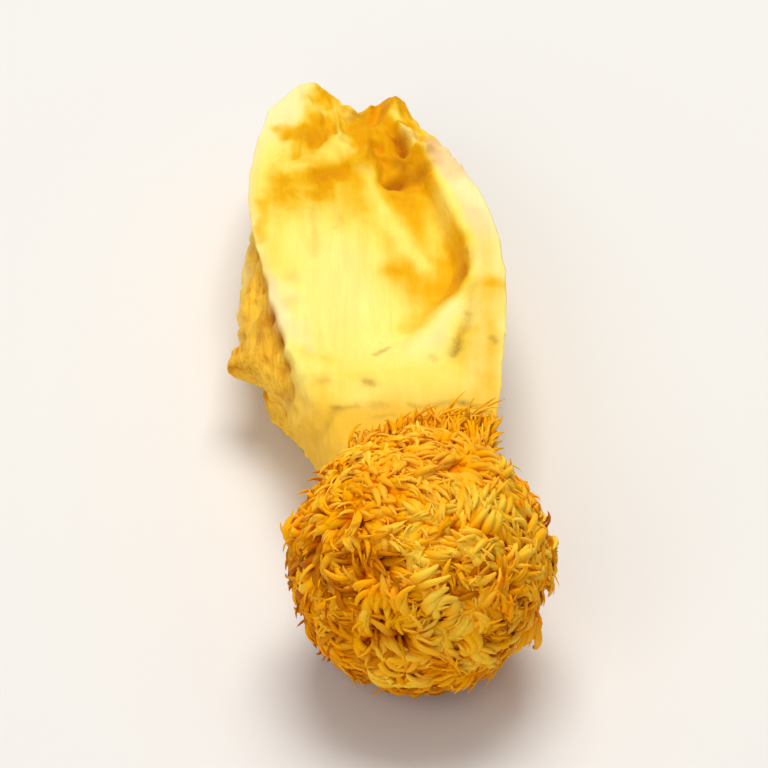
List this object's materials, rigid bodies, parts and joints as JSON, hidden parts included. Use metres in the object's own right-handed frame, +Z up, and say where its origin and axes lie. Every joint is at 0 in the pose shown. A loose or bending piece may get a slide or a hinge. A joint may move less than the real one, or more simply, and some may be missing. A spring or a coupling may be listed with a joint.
{
  "type": "dried lion's mane mushroom",
  "caption": "Small dried lion's mane mushroom lying down: a round head covered in short teeth on a stalk sliced lengthways, with a dished pale cut face and furrowed golden skin.",
  "frame": {"origin": "on the surface the piece lies on, under the middle of its footprint", "axes": "+Y along the stalk away from the head, +X to the right with the head in front, +Z up, out of the cut face"},
  "size_m": [0.0246, 0.0698, 0.0202],
  "materials": {
    "flesh": "dried fungus flesh: matte, cream to lemon on the cut face, golden ochre on the skin and the toothed head"
  },
  "bodies": {
    "root": {"mushroom": "flesh"}
  },
  "joints": []
}
